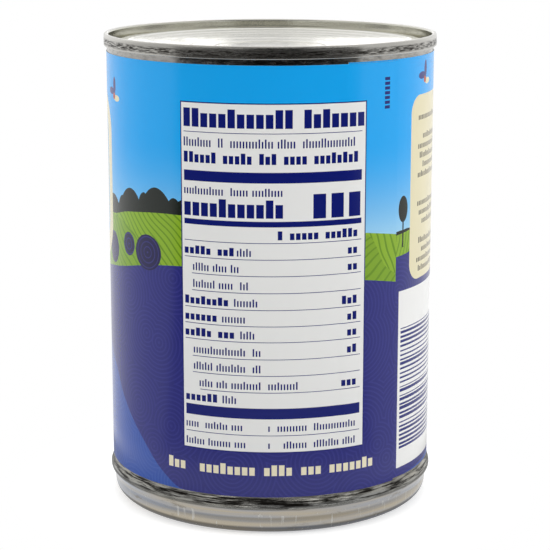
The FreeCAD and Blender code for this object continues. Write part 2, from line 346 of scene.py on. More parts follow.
def steel(name, tints, roughness, marks, relief, stain_and_shade, wear_and_shade, ticks=(0, 1)):
    """Tinplate: cold-rolled steel with a bright tin coat.

    Its reflections are clear but soft, drawn out along the rolling or seaming marks, with darker
    blotches and fine pale ticks across. The blotches are stains where the coat is worn, but on the
    bead they are near-black painted shade that stands in for dark reflections. marks is how many
    marks there are to a metre along x, y and z, and relief is their depth in millimetres. The
    blotches' colour comes next, then the marks to a metre of their pattern, the noise levels
    between which they set in, and the heights they lie between.
    ticks is their strength and the height that they reach.
    """
    material, tree = new_material(name)
    place = add(tree, "ShaderNodeTexCoord").outputs["Object"]
    height = add(tree, "ShaderNodeSeparateXYZ", [place]).outputs["Z"]

    marks_at = add(tree, VECTOR, [place, marks], operation="MULTIPLY")
    rolled = add(tree, NOISE, {"Vector": marks_at, "Scale": 1, "Detail": 3, "Roughness": 0.6})
    drift_at = add(tree, VECTOR, [place, TINT_DRIFT], operation="MULTIPLY")
    drift = add(tree, NOISE, {"Vector": drift_at, "Scale": 1, "Detail": 2})
    hue = add(tree, MAP, {"Value": drift, "From Min": 0.38, "From Max": 0.62})
    coat = add(tree, MIX, {0: hue, 6: linear(tints[0]), 7: linear(tints[1])}, data_type="RGBA")

    # Darker blotches in clouds between two heights: worn tin on most pieces, and painted shade on
    # the bead.
    wear_and_shade_marks, low, high, foot, top = wear_and_shade
    clouds_at = add(tree, VECTOR, [place, wear_and_shade_marks], operation="MULTIPLY")
    clouds = add(tree, NOISE, {"Vector": clouds_at, "Scale": 1, "Detail": 5, "Roughness": 0.65})
    wear_and_shade_clouds = add(tree, MAP, {"Value": clouds, "From Min": low, "From Max": high})
    off = add(tree, MATH, [height, (foot + top) / 2 * MM], operation="SUBTRACT")
    away = add(tree, MATH, [off], operation="ABSOLUTE")
    reached = add(tree, MAP, {"Value": away, "From Min": (top - foot) / 2 * MM,
                              "From Max": (top - foot) / 4 * MM})
    stained_and_shaded = add(tree, MATH, [wear_and_shade_clouds, reached], operation="MULTIPLY")
    dulled_and_shaded = add(tree, MIX, {0: stained_and_shaded, 6: coat.outputs[2], 7: linear(stain_and_shade)}, data_type="RGBA")

    tick_strength, tick_top = ticks
    ticks_at = add(tree, VECTOR, [place, TICK_MARKS], operation="MULTIPLY")
    tick_noise = add(tree, NOISE, {"Vector": ticks_at, "Scale": 1, "Detail": 1})
    tick_line = add(tree, MAP, {"Value": tick_noise, "From Min": 0.66,
                                "From Max": 0.74, "To Max": tick_strength})
    low_down = add(tree, MAP, {"Value": height, "From Min": tick_top * MM,
                               "From Max": (tick_top - 1) * MM})
    tick = add(tree, MATH, [tick_line, low_down], operation="MULTIPLY")
    colour = add(tree, MIX, {0: tick, 6: dulled_and_shaded.outputs[2], 7: linear(TICK_COLOUR)},
                 data_type="RGBA")

    rough_base = add(tree, MAP, {
        "Value": rolled, "From Min": 0.3, "From Max": 0.7,
        "To Min": roughness * 0.85, "To Max": roughness * 1.25})
    rough_wear_and_shade = add(tree, MATH, [stained_and_shaded, WEAR_AND_SHADE_ROUGHER, rough_base], operation="MULTIPLY_ADD")
    rough = add(tree, MATH, [tick, TICK_ROUGHER, rough_wear_and_shade], operation="MULTIPLY_ADD")
    bump = add(tree, "ShaderNodeBump", {"Strength": 1, "Distance": relief * MM, "Height": rolled})
    shader = add(tree, "ShaderNodeBsdfPrincipled", {
        "Base Color": colour.outputs[2], "Metallic": 1, "Roughness": rough, "Normal": bump})
    add(tree, "ShaderNodeOutputMaterial", [shader])
    return material


INKS = {
    "sky_high": "#00ABFA",
    "sky_low": "#9CD5F7",
    "trees": "#101A12",
    "grass": "#8CB41E",
    "grass_near": "#80A81A",
    "grass_rows": "#66920A",
    "navy": "#21247A",
    "navy_rows": "#2A2C84",
    "indigo": "#14104A",
    "indigo_rows": "#2C2C78",
    "royal": "#274FAA",
    "royal_rows": "#3158AE",
    "paper_white": "#F4F4F2",
    "deep_navy": "#061672",
    "cream": "#E9E0BA",
    "pale_cream": "#F3EACC",
    "warm_grey": "#6A6350",
    "berry": "#B4472E",
}

# The label's width, from its glued end on the left to its outer end, both from the front's middle.
LABEL_START = -213.2
LABEL_END = 30.35

# Lines across the landscape as (along, up) spots: the hills' tops, what share of their height the
# trees there have, the near hill, the foot of the green and the blue sweep.
HILL_TOPS = [(-213, 55), (-198, 55), (-178, 59), (-150, 62), (-122, 58), (-95, 61), (-70, 62),
             (-47, 57.8), (-36, 59.6), (-20, 60.8), (0, 59), (18, 57.4), (30.3, 55.6)]
GROVE = [(-213, 0), (-190, 0.2), (-160, 0.2), (-140, 1), (-118, 0), (-60, 0), (-52, 0.6),
         (-40, 0.9), (-26, 1.0), (-19, 0.7), (-8, 0), (24, 0), (30.3, 0)]
NEAR_HILL = [(-213, 46), (-198, 49), (-183, 60), (-160, 50), (-120, 64), (-90, 48), (-62, 52),
             (-46, 57.5), (-36, 56), (-26, 48), (0, 50), (20, 57), (27, 49), (30.3, 47)]
GREEN_FOOT = [(-213, 50.6), (-198, 50.2), (-180, 53), (-150, 47), (-115, 50), (-85, 46), (-60, 44),
              (-45, 46), (-20, 49.8), (0, 49), (18, 47.2), (30.3, 45.1)]
BLUE_SWEEP = [(-213, 0), (-196, 0), (-170, 3), (-150, 14), (-128, 25), (-100, 22), (-72, 27),
              (-54, 27.5), (-47, 24), (-40, 16.5), (-32, 9), (-24, 2), (-20, 0), (0, 0), (30.3, 0)]

# The sky pales downwards between two heights.
SKY_PALES = (77, 56)

# The trees' scallops, as width, height and phase, over a hedge of one height.
CROWNS = [(9.6, 5.4, 0.9), (4.6, 4.2, 0.5)]
HEDGE = 2.6

# Lines round a far middle: the middle, their pitch, their width and how far they bend.
FAR_ROWS = ((-70, 10), 1.35, 0.36, 7)
NEAR_ROWS = ((-2, 96), 1.6, 0.40, 9)
BOWL_ROWS = ((-96, 60), 2.6, 0.9, 0)

# Rings drawn in the dark fields, about middles 1 / RING_CELLS apart, and in the bushes: their
# pitch, and the share of it that is ink.
RING_CELLS = 0.075
FIELD_RINGS = (0.95, 0.36)
BUSH_RINGS = (1.1, 0.22)

# Round bushes on the green at the left, and a lone tree's crown, as middles and half-sizes.
BUSHES = [((-45.5, 50.2), (3.4, 3.6)), ((-36.6, 52.4), (2.4, 2.6)), ((-29.5, 51.6), (4.2, 3.9))]
LONE_CROWN = ((-197, 60.4), (1.7, 2.9))
LONE_TRUNK = (-197.25, -196.75, 52, 59)

# The panel of facts: its outline and its white as left, right, low and high, the bars as low and
# high, and the rules as a left end and a height.
PANEL_EDGE = (-19.7, 21.3, 9.95, 85.15)
PANEL_WHITE = (-19.45, 21.05, 10.2, 84.9)
TEXT_START = -18.9
TEXT_END = 20.2
INDENT = -17.2
BARS = [(68.5, 70.75), (59.24, 60.42), (17.52, 19.88)]
RULES = [(TEXT_START, 78.85), (TEXT_START, 55.8), (TEXT_START, 52.25), (INDENT, 48.7),
         (INDENT, 45.05), (TEXT_START, 41.4), (TEXT_START, 37.85), (TEXT_START, 34.4),
         (INDENT, 30.65), (INDENT, 27.05), (-15.4, 23.35), (TEXT_START, 13.85)]
RULE_WEIGHT = 0.15

# A small upright code beside the panel, and the share of each millimetre of it that is ink.
CODE = (26.2, 27.7, 82.8, 89.9)
CODE_STROKE = 0.66

# Panels past the lap: the list's, with its corners' radius, and a striped one. Its stripes lie at
# a pitch, and the least share of it that is ink grows by up to the spread.
LIST_PANEL = (-194.2, -150, 43.8, 84.5, 4)
STRIPE_PANEL = (-198.2, -168, 2.0, 42.3)
STRIPES = (-197.3, -171, 6.3, 33.9)
STRIPE_PITCH = 1.02
STRIPE_LEAST = 0.22
STRIPE_SPREAD = 0.56

# The name's panel at the back, as nested rectangles with their corners' radius and their ink, and
# the bowl: what shows of it, then its side, its rim and what fills it, as middles and half-sizes.
NAME_PANEL = [((-146, -46.5, 47, 84, 9), "cream"), ((-142, -50.5, 51, 80, 6), "sky_high"),
              ((-140.8, -51.7, 52.2, 78.8, 5), "cream")]
BOWL_SHOWN = (-140, -50, 3, 25)
BOWL_SIDE = ((-96, 25), (31, 21))
BOWL_RIM = ((-96, 25), (31, 7))
BOWL_FILLING = ((-96, 24.6), (28.5, 5.6))

# Where two sprigs stand, and their leaves and berry as middles from there, half-sizes and inks.
SPRIGS = [(-187.5, 87.6), (-43.6, 84.0)]
SPRIG = [((-1.7, 1.0), (1.9, 0.8), "navy"), ((0.3, 2.3), (0.8, 1.9), "navy"),
         ((1.6, -0.4), (1.6, 0.7), "cream"), ((0, 0), (0.75, 0.75), "berry")]

# Rows of upright blocks in place of words: foot, height and each word's ends. A row's weight is its
# blocks' pitch, the gap between them, and the share of them that stop at SHORT_TOP of the row's
# height. The others would go to FULL_TOP, and the row's top cuts them off.
WEIGHTS = {
    "title": (2.0, 0.42, 0.66),
    "number": (4.0, 1.2, 0.0),
    "bold": (1.28, 0.32, 0.72),
    "plain": (0.66, 0.32, 0.75),
    "foot": (1.6, 0.42, 0.75),
    "list": (0.9, 0.28, 0.8),
    "name": (6.6, 1.3, 0.7),
    "below_name": (2.6, 0.5, 0.7),
}
SHORT_TOP = 0.75
FULL_TOP = 1.03
ROWS = {
    "title": [(79.9, 3.9, [(-18.9, 5.1), (7.1, 21.1)]), (61.1, 3.85, [(-18.9, 3.1)])],
    "number": [(60.9, 5.2, [(9.1, 21.1)])],
    "bold": [
        (72.4, 2.3, [(-18.9, -10.6), (-9.4, -3.2), (-1.8, 2.0), (3.4, 8.2), (9.8, 20.0)]),
        (56.5, 1.9, [(1.3, 2.7), (4.0, 10.6), (11.8, 19.9)]),
        (52.9, 1.8, [(-18.9, -12.2), (-11.3, -8.0), (17.4, 20.1)]),
        (49.35, 1.8, [(17.4, 20.1)]),
        (42.05, 1.8, [(-18.9, -8.4), (16.2, 20.1)]),
        (38.5, 1.8, [(-18.9, -11.4), (17.4, 20.1)]),
        (35.05, 1.8, [(-18.9, -12.6), (-11.3, -7.2), (17.4, 20.1)]),
        (31.3, 1.8, [(17.4, 20.1)]),
        (24.0, 1.8, [(16.2, 20.1)]),
        (20.7, 1.8, [(-18.9, -11.3)]),
    ],
    "plain": [
        (75.8, 1.9, [(-18.9, -12.2), (-11.0, -9.8), (-8.6, 0.5), (1.7, 5.4), (6.6, 18.6)]),
        (65.7, 1.7, [(-18.9, -9.4), (-8.2, -4.5), (-3.6, 3.3)]),
        (52.9, 1.7, [(-7.2, -3.6)]),
        (49.35, 1.7, [(-17.2, -13.4), (-12.5, -9.2), (-8.2, -6.2)]),
        (45.7, 1.7, [(-17.2, -11.6), (-10.8, -7.4), (-6.4, -4.4)]),
        (42.05, 1.7, [(-7.4, -2.4)]),
        (38.5, 1.7, [(-10.4, -5.4)]),
        (35.05, 1.7, [(-6.2, -3.2)]),
        (31.3, 1.7, [(-17.2, -10.2), (-9.4, -5.0), (-4.0, -1.8)]),
        (27.7, 1.7, [(-17.2, -12.4), (-11.4, -4.8), (-3.8, -1.6)]),
        (24.0, 1.7, [(-15.6, -12.6), (-11.7, -9.0), (-8.1, -1.6), (-0.6, 6.2)]),
        (20.7, 1.7, [(-10.6, -7.6)]),
        (14.75, 1.6, [(-18.9, -15.6), (-14.6, -9.4), (-8.4, -5.6), (-0.6, 0.1), (1.8, 8.2),
                      (9.2, 15.6), (16.4, 20.0)]),
        (10.95, 1.6, [(-18.9, -14.4), (-13.4, -8.4), (-7.4, -4.6), (-0.6, 0.1), (3.0, 8.2),
                      (9.2, 15.4), (16.4, 20.0)]),
    ],
}
FOOT_ROW = [(4.85, 2.4, [(-23.0, -17.6), (-16.2, -2.6), (-0.8, 5.4), (7.2, 11.6), (13.4, 25.4)])]
LIST_ROWS = [(79.0 - 2.1 * row, 1.3, [(-191.0 + 1.3 * (row % 3), -154.0 - 2.1 * (row * 7 % 5))])
             for row in range(17) if row not in (1, 7, 8, 12)]
NAME_ROW = [(67.5, 8.5, [(-129, -101), (-94, -62)])]
PLAIN_ROW = [(57, 3.4, [(-119, -104), (-101, -91), (-88, -72)])]


def drawn_line(sheet, spots):
    """A smooth line through (along, up) spots, as a mask of what lies under it and its height."""
    tree, along, up = sheet
    span = LABEL_END - LABEL_START
    share = add(tree, MAP, {"Value": along, "From Min": LABEL_START, "From Max": LABEL_END})
    curve = add(tree, "ShaderNodeFloatCurve", {"Value": share})
    points = curve.mapping.curves[0].points
    scaled = [((x - LABEL_START) / span, y / 100) for x, y in spots]
    points[0].location = scaled[0]
    points[1].location = scaled[-1]
    for spot in scaled[1:-1]:
        points.new(*spot)
    curve.mapping.update()
    line = add(tree, MATH, [curve, 100], operation="MULTIPLY")
    return add(tree, MATH, [up, line], operation="LESS_THAN"), line


def block(sheet, left, right, low, high):
    """A mask of a rectangle."""
    tree, along, up = sheet
    across = add(tree, MATH, [along, (left + right) / 2, (right - left) / 2], operation="COMPARE")
    upward = add(tree, MATH, [up, (low + high) / 2, (high - low) / 2], operation="COMPARE")
    return add(tree, MATH, [across, upward], operation="MULTIPLY")


def round_block(sheet, left, right, low, high, radius):
    """A mask of a rectangle with rounded corners."""
    tree, along, up = sheet
    squares = []
    for value, start, end in ((along, left, right), (up, low, high)):
        from_middle = add(tree, MATH, [value, (start + end) / 2], operation="SUBTRACT")
        distance = add(tree, MATH, [from_middle], operation="ABSOLUTE")
        past = add(tree, MATH, [distance, (end - start) / 2 - radius], operation="SUBTRACT")
        outside = add(tree, MATH, [past, 0], operation="MAXIMUM")
        squares.append(add(tree, MATH, [outside, outside], operation="MULTIPLY"))
    total = add(tree, MATH, squares, operation="ADD")
    return add(tree, MATH, [total, radius * radius], operation="LESS_THAN")


def oval(sheet, middle, size):
    """A mask of an ellipse."""
    tree, along, up = sheet
    spot = add(tree, "ShaderNodeCombineXYZ", [along, up])
    moved = add(tree, VECTOR, [spot, (*middle, 0)], operation="SUBTRACT")
    scaled = add(tree, VECTOR, [moved, (1 / size[0], 1 / size[1], 0)], operation="MULTIPLY")
    reach = add(tree, VECTOR, [scaled], operation="LENGTH")
    return add(tree, MATH, [reach.outputs["Value"], 1], operation="LESS_THAN")


def ploughed(sheet, middle, pitch, width, drift):
    """A mask of lines at an even pitch round a far middle, bent a little, like a field's rows."""
    tree, along, up = sheet
    spot = add(tree, "ShaderNodeCombineXYZ", [along, up])
    bend = add(tree, NOISE, {"Vector": spot, "Scale": 0.06, "Detail": 1})
    push = add(tree, MATH, [bend, drift], operation="MULTIPLY")
    away = add(tree, VECTOR, [spot, (*middle, 0)], operation="DISTANCE")
    distance = add(tree, MATH, [away.outputs["Value"], push], operation="ADD")
    turns = add(tree, MATH, [distance, 1 / pitch], operation="MULTIPLY")
    phase = add(tree, MATH, [turns], operation="FRACT")
    return add(tree, MATH, [phase, width / pitch], operation="LESS_THAN")


def word_rows(sheet, rows, pitch, gap, short):
    """A mask of rows of upright blocks in words, which say nothing.

    Words end where a block does. Some blocks reach the row's full height and the rest, a share of
    short, stop lower, which gives a row the rhythm of print without its letters.
    """
    tree, along, up = sheet
    ink = None
    rise = None
    row_number = None
    for number, (low, tall, words) in enumerate(rows):
        here = add(tree, MATH, [up, low + tall / 2, tall / 2], operation="COMPARE")
        across = None
        for left, right in words:
            first = TEXT_START + round((left - TEXT_START) / pitch) * pitch - gap / 4
            last = first + max(1, round((right - left) / pitch)) * pitch
            word = add(tree, MATH, [along, (first + last) / 2, (last - first) / 2],
                       operation="COMPARE")
            across = word if across is None else add(tree, MATH, [across, word],
                                                     operation="MAXIMUM")
        row_ink = add(tree, MATH, [here, across], operation="MULTIPLY")
        ink = row_ink if ink is None else add(tree, MATH, [ink, row_ink], operation="MAXIMUM")
        from_foot = add(tree, MATH, [up, low], operation="SUBTRACT")
        share = add(tree, MATH, [from_foot, 1 / tall], operation="MULTIPLY")
        rise = add(tree, MATH, [share, here, 0 if rise is None else rise], operation="MULTIPLY_ADD")
        row_number = add(tree, MATH, [here, number, 0 if row_number is None else row_number],
                         operation="MULTIPLY_ADD")
    cell = add(tree, MATH, [along, 1 / pitch, -TEXT_START / pitch], operation="MULTIPLY_ADD")
    phase = add(tree, MATH, [cell], operation="FRACT")
    number = add(tree, MATH, [cell], operation="FLOOR")
    seed = add(tree, "ShaderNodeCombineXYZ", [number, row_number])
    chance = add(tree, "ShaderNodeTexWhiteNoise", {"Vector": seed}, noise_dimensions="2D")
    full = add(tree, MATH, [chance.outputs["Value"], short], operation="GREATER_THAN")
    top = add(tree, MATH, [full, FULL_TOP - SHORT_TOP, SHORT_TOP], operation="MULTIPLY_ADD")
    low_enough = add(tree, MATH, [rise, top], operation="LESS_THAN")
    solid = add(tree, MATH, [phase, 1 - gap / pitch], operation="LESS_THAN")
    blocks = add(tree, MATH, [low_enough, solid], operation="MULTIPLY")
    return add(tree, MATH, [ink, blocks], operation="MULTIPLY")


def landscape(sheet):
    """The sky as a colour, and masks of trees, hills, a field and a sweep, each with its ink."""
    tree, along, up = sheet
    lower = add(tree, MAP, {"Value": up, "From Min": SKY_PALES[0], "From Max": SKY_PALES[1]})
    paler = add(tree, MATH, [lower, 2], operation="POWER")
    high, low = linear(INKS["sky_high"]), linear(INKS["sky_low"])
    sky = add(tree, MIX, {0: paler, 6: high, 7: low}, data_type="RGBA").outputs[2]
    layers = []

    # Round trees along the hills, as two rows of scallops over a hedge.
    hills, hill_tops = drawn_line(sheet, HILL_TOPS)
    grove = drawn_line(sheet, GROVE)[1]
    crowns = HEDGE
    for width, tall, shift in CROWNS:
        turn = add(tree, MATH, [along, math.pi / width, shift], operation="MULTIPLY_ADD")
        wave = add(tree, MATH, [turn], operation="SINE")
        bowl = add(tree, MATH, [wave], operation="ABSOLUTE")
        round_top = add(tree, MATH, [bowl, 0.5], operation="POWER")
        crown = add(tree, MATH, [round_top, tall], operation="MULTIPLY")
        crowns = add(tree, MATH, [crown, crowns], operation="MAXIMUM")
    tree_line = add(tree, MATH, [crowns, grove, hill_tops], operation="MULTIPLY_ADD")
    layers.append((add(tree, MATH, [up, tree_line], operation="LESS_THAN"), "trees"))

    # Hills with mown rows, and a near hill with its own.
    near_hill = drawn_line(sheet, NEAR_HILL)[0]
    for hill, rows, ink in ((hills, FAR_ROWS, "grass"), (near_hill, NEAR_ROWS, "grass_near")):
        mown = add(tree, MATH, [hill, ploughed(sheet, *rows)], operation="MULTIPLY")
        layers += [(hill, ink), (mown, "grass_rows")]

    # A dark field and a blue sweep along the foot, both with faint rings drawn in them.
    field = drawn_line(sheet, GREEN_FOOT)[0]
    sweep = drawn_line(sheet, BLUE_SWEEP)[0]
    spot = add(tree, "ShaderNodeCombineXYZ", [along, up])
    cells = add(tree, "ShaderNodeTexVoronoi", {
        "Vector": spot, "Scale": RING_CELLS, "Randomness": 0.9},
        voronoi_dimensions="2D", feature="F1")
    pitch, inked = FIELD_RINGS
    turns = add(tree, MATH, [cells.outputs["Distance"], 1 / (RING_CELLS * pitch)],
                operation="MULTIPLY")
    phase = add(tree, MATH, [turns], operation="FRACT")
    swirl = add(tree, MATH, [phase, inked], operation="LESS_THAN")
    layers.append((field, "navy"))
    layers.append((add(tree, MATH, [field, swirl], operation="MULTIPLY"), "navy_rows"))
    pitch, inked = BUSH_RINGS
    for middle, size in BUSHES:
        bush = oval(sheet, middle, size)
        away = add(tree, VECTOR, [spot, (*middle, 0)], operation="DISTANCE")
        turn = add(tree, MATH, [away.outputs["Value"], 1 / pitch], operation="MULTIPLY")
        round_line = add(tree, MATH, [turn], operation="FRACT")
        drawn = add(tree, MATH, [round_line, inked], operation="LESS_THAN")
        layers.append((bush, "indigo"))
        layers.append((add(tree, MATH, [bush, drawn], operation="MULTIPLY"), "indigo_rows"))
    swept = add(tree, MATH, [field, sweep], operation="MULTIPLY")
    swept_rings = add(tree, MATH, [swept, swirl], operation="MULTIPLY")
    layers += [(block(sheet, *LONE_TRUNK), "trees"), (oval(sheet, *LONE_CROWN), "trees"),
               (swept, "royal"), (swept_rings, "royal_rows")]
    return sky, layers


def facts_panel(sheet):
    """Masks of the white panel at the front, its rules, bars and rows, and the row below it."""
    tree, _, up = sheet
    layers = [(block(sheet, *PANEL_EDGE), "deep_navy"), (block(sheet, *PANEL_WHITE), "paper_white")]
    for left, middle in RULES:
        low, high = middle - RULE_WEIGHT / 2, middle + RULE_WEIGHT / 2
        layers.append((block(sheet, left, TEXT_END, low, high), "deep_navy"))
    for low, high in BARS:
        layers.append((block(sheet, TEXT_START, TEXT_END, low, high), "deep_navy"))
    for weight, rows in ROWS.items():
        layers.append((word_rows(sheet, rows, *WEIGHTS[weight]), "deep_navy"))
    layers.append((word_rows(sheet, FOOT_ROW, *WEIGHTS["foot"]), "pale_cream"))
    code = block(sheet, *CODE)
    phase = add(tree, MATH, [up], operation="FRACT")
    stroke = add(tree, MATH, [phase, CODE_STROKE], operation="LESS_THAN")
    layers.append((add(tree, MATH, [code, stroke], operation="MULTIPLY"), "deep_navy"))
    return layers


def side_panels(sheet):
    """Masks of the list panel past the lap, with the striped panel below it.

    The stripes are of random widths, so they hold no code.
    """
    tree, _, up = sheet
    layers = [(round_block(sheet, *LIST_PANEL), "cream"),
              (word_rows(sheet, LIST_ROWS, *WEIGHTS["list"]), "warm_grey"),
              (block(sheet, *STRIPE_PANEL), "paper_white")]
    stripe = add(tree, MATH, [up, 1 / STRIPE_PITCH], operation="MULTIPLY")
    number = add(tree, MATH, [stripe], operation="FLOOR")
    phase = add(tree, MATH, [stripe], operation="FRACT")
    chance = add(tree, "ShaderNodeTexWhiteNoise", {"W": number}, noise_dimensions="1D")
    weight = add(tree, MATH, [chance.outputs["Value"], STRIPE_SPREAD, STRIPE_LEAST],
                 operation="MULTIPLY_ADD")
    inked = add(tree, MATH, [phase, weight], operation="LESS_THAN")
    striped = block(sheet, *STRIPES)
    layers.append((add(tree, MATH, [inked, striped], operation="MULTIPLY"), "deep_navy"))
    return layers


def sprigs(sheet):
    """Masks of two small sprigs with berries, beside the panels' upper corners."""
    return [(oval(sheet, (along + aside, up + above), size), ink)
            for along, up in SPRIGS for (aside, above), size, ink in SPRIG]


def main_face(sheet):
    """Masks of the face at the back: a panel with blocks in a name's place, and a full bowl."""
    tree = sheet[0]
    bowl = add(tree, MATH, [oval(sheet, *BOWL_SIDE), block(sheet, *BOWL_SHOWN)],
               operation="MULTIPLY")
    bowl_rows = add(tree, MATH, [bowl, ploughed(sheet, *BOWL_ROWS)], operation="MULTIPLY")
    layers = [(round_block(sheet, *panel), ink) for panel, ink in NAME_PANEL]
    return layers + [(word_rows(sheet, NAME_ROW, *WEIGHTS["name"]), "deep_navy"),
                     (word_rows(sheet, PLAIN_ROW, *WEIGHTS["below_name"]), "deep_navy"),
                     (bowl, "paper_white"), (bowl_rows, "royal_rows"),
                     (oval(sheet, *BOWL_RIM), "paper_white"),
                     (oval(sheet, *BOWL_FILLING), "cream")]


# Paper, in millimetres: the printed side's fibre and the bare side's, the length of its waves along
# x, y and z, their depth, and the share of that depth that the fibre has.
PRINTED_FIBRE = 0.5
BARE_FIBRE = 0.4
PAPER_WAVES = (5, 5, 40)
PAPER_RELIEF = 0.03
FIBRE_SHARE = 0.02


def printed_paper():
    """Label paper: bleached, clay-coated, offset-printed and varnished.

    The varnish gives a soft sheen that pales the inks where the wall turns away, over a faint
    fibre and the slight unevenness of paper glued to a wall. The fibre is drawn about three times
    as coarse as it is, to show.
    """
    material, tree = new_material("Varnished_offset_printed_paper")
    flat = add(tree, "ShaderNodeUVMap", uv_map=SHEET_MAP)
    parts = add(tree, "ShaderNodeSeparateXYZ", [flat])
    along = add(tree, MAP, {"Value": parts.outputs[0], "To Min": LABEL_START, "To Max": LABEL_END})
    up = add(tree, MATH, [parts.outputs[1], LABEL_HEIGHT], operation="MULTIPLY")
    sheet = (tree, along, up)
    colour, layers = landscape(sheet)
    for part in (facts_panel, side_panels, sprigs, main_face):
        layers += part(sheet)
    for mask, ink in layers:
        colour = add(tree, MIX, {0: mask, 6: colour, 7: linear(INKS[ink])},
                     data_type="RGBA").outputs[2]

    place = add(tree, "ShaderNodeTexCoord").outputs["Object"]
    fibre = add(tree, NOISE, {"Vector": place, "Scale": 1 / (PRINTED_FIBRE * MM), "Detail": 2})
    to_metre = tuple(1 / (size * MM) for size in PAPER_WAVES)
    stretched = add(tree, VECTOR, [place, to_metre], operation="MULTIPLY")
    uneven = add(tree, NOISE, {"Vector": stretched, "Scale": 1, "Detail": 2})
    relief = add(tree, MATH, [fibre, FIBRE_SHARE, uneven], operation="MULTIPLY_ADD")
    bump = add(tree, "ShaderNodeBump", {
        "Strength": 1, "Distance": PAPER_RELIEF * MM, "Height": relief})
    rough = add(tree, MAP, {"Value": fibre, "To Min": 0.17, "To Max": 0.25})
    shader = add(tree, "ShaderNodeBsdfPrincipled", {
        "Base Color": colour, "Roughness": rough, "IOR": 1.5, "Normal": bump})
    add(tree, "ShaderNodeOutputMaterial", [shader])
    return material


def raw_paper():
    """Uncoated paper: the label's cut edges and glued side, white and fully matt."""
    material, tree = new_material("Uncoated_paper")
    place = add(tree, "ShaderNodeTexCoord").outputs["Object"]
    fibre = add(tree, NOISE, {"Vector": place, "Scale": 1 / (BARE_FIBRE * MM), "Detail": 2})
    colour = add(tree, MIX, {0: fibre, 6: linear("#DAD8D0"), 7: linear("#F0EFEA")},
                 data_type="RGBA")
    shader = add(tree, "ShaderNodeBsdfPrincipled", {
        "Base Color": colour.outputs[2], "Roughness": 0.9})
    add(tree, "ShaderNodeOutputMaterial", [shader])
    return material


# ---------------------------------------------------------------- the can

# The foot of the body is warm from its clear lacquer, with rolling marks round it and pale ticks.
band_steel = steel("Lacquered_tinplate", ("#B9B09F", "#A4A8B0"), 0.15, (120, 120, 2400), 0.0025,
                   "#8C8474", ((110, 110, 420), 0.58, 0.72, 0, 12), (0.55, 5.5))
# The bead is crumpled by handling: silver, with short bright creases along it, and near-black
# blotches of painted shade that stand in for the dark reflections in its crumples.
bead_steel = steel("Crumpled_tinplate", ("#B5B2A8", "#A1A19E"), 0.20, (260, 260, 3200), 0.024,
                   "#23211E", ((150, 150, 2100), 0.42, 0.56, 6.1, 9.2))
# The neck under the seam is plain and a little mottled.
neck_steel = steel("Plain_tinplate", ("#B9B7B2", "#AAA8A6"), 0.14, (700, 700, 1400), 0.0007,
                   "#8E8C88", ((500, 500, 1600), 0.45, 0.70, 98, 106))
# The end is plain stamped tinplate, smooth and bright.
end_steel = steel("Stamped_tinplate", ("#DDDBD3", "#D6D5CE"), 0.12, (900, 120, 900), 0.0004,
                  "#CBC9C1", ((90, 60, 90), 0.5, 0.8, 90, 120))
# Its upright wall keeps a faint olive film of the compound that lines the seam.
chuck_steel = steel("Compound_filmed_tinplate", ("#D6D5C9", "#D0CFC3"), 0.16, (200, 200, 900),
                    0.0004, "#BDBBAE", ((90, 90, 200), 0.5, 0.8, 90, 120))
# The seam was squeezed by two rolls, which leave a dark scuffed line and fine grooves round it.
seam_steel = steel("Roll_seamed_tinplate", ("#CFCDC7", "#BAB8B2"), 0.22, (150, 150, 3600), 0.0045,
                   "#3A3733", ((520, 520, 4200), 0.40, 0.56, 103.2, 105.0))

# The body's line as radius, height and fillet: the stepped base, the standing ring, the band and
# the bead, then the wall and the neck, closed across inside the end.
FOOT_LINE = [
    (0, 2.7, 0), (21.0, 2.7, 0.6), (22.2, 2.2, 0.6), (31.35, 2.2, 0), (31.95, FLOOR_HEIGHT, 0.7),
    (36.1, FLOOR_HEIGHT, 3.0), (36.25, 4.3, 1.2), (BEAD_RADIUS, 6.0, 1.0), (BEAD_RADIUS, 6.7, 1.2),
    (WALL_RADIUS, 8.7, 0.5), (WALL_RADIUS, WALL_FOOT, 0),
]
WALL_LINE = [
    (WALL_RADIUS, WALL_FOOT, 0), (WALL_RADIUS, NECK_FOOT, 0), (WALL_RADIUS, NECK_TOP, 0),
    (NECK_RADIUS, NECK_TOP, 0), (NECK_RADIUS, BODY_TOP, 0), (0, BODY_TOP, 0),
]

# Where the bead's steel shows: outside this radius and between these heights. The neck's is above.
BEAD_INSIDE = 36.3
BEAD_HEIGHTS = (6.2, 9.3)
NECK_SHOWS = 101.5


def body_slot(radius, height):
    if height > NECK_SHOWS:
        return 2
    return int(radius > BEAD_INSIDE and BEAD_HEIGHTS[0] < height < BEAD_HEIGHTS[1])


body_line = rounded(FOOT_LINE, BODY_PACE) + rounded(WALL_LINE, WALL_PACE)[1:]
body = lathe("Drawn_steel_body", body_line, knocked, [band_steel, bead_steel, neck_steel],
             body_slot)

# The end's line as depths below the rim, from the middle of its panel up over the seam and back
# along its hidden side. The panel rises outwards in ever steeper rings.
UPPER_SIDE = [
    (0, 3.50, 0), (3.0, 3.48, 3), (12.5, 3.34, 0.1), (12.68, 3.18, 0.1), (17.7, 3.04, 0.3),
    (18.1, 2.95, 0.3), (22.0, 2.78, 4), (25.0, 2.60, 4), (28.0, 2.35, 4), (30.9, 2.02, 1.0),
    (31.9, 1.80, 1.2), (33.4, 1.74, 1.0), (CREST_RADIUS, CREST_DEPTH, 0.6),
    (SINK_RADIUS, SINK_DEPTH, 0.45), (CHUCK_RADIUS, SINK_DEPTH, 0.45), (CHUCK_RADIUS, 0, 0.45),
    (SEAM_RADIUS, 0, 0.40), (SEAM_RADIUS, SEAM_HEIGHT, 0.28), (SEAM_INSIDE, SEAM_HEIGHT, 0.2),
    (SEAM_INSIDE, HOOK_TOP, 0),
]
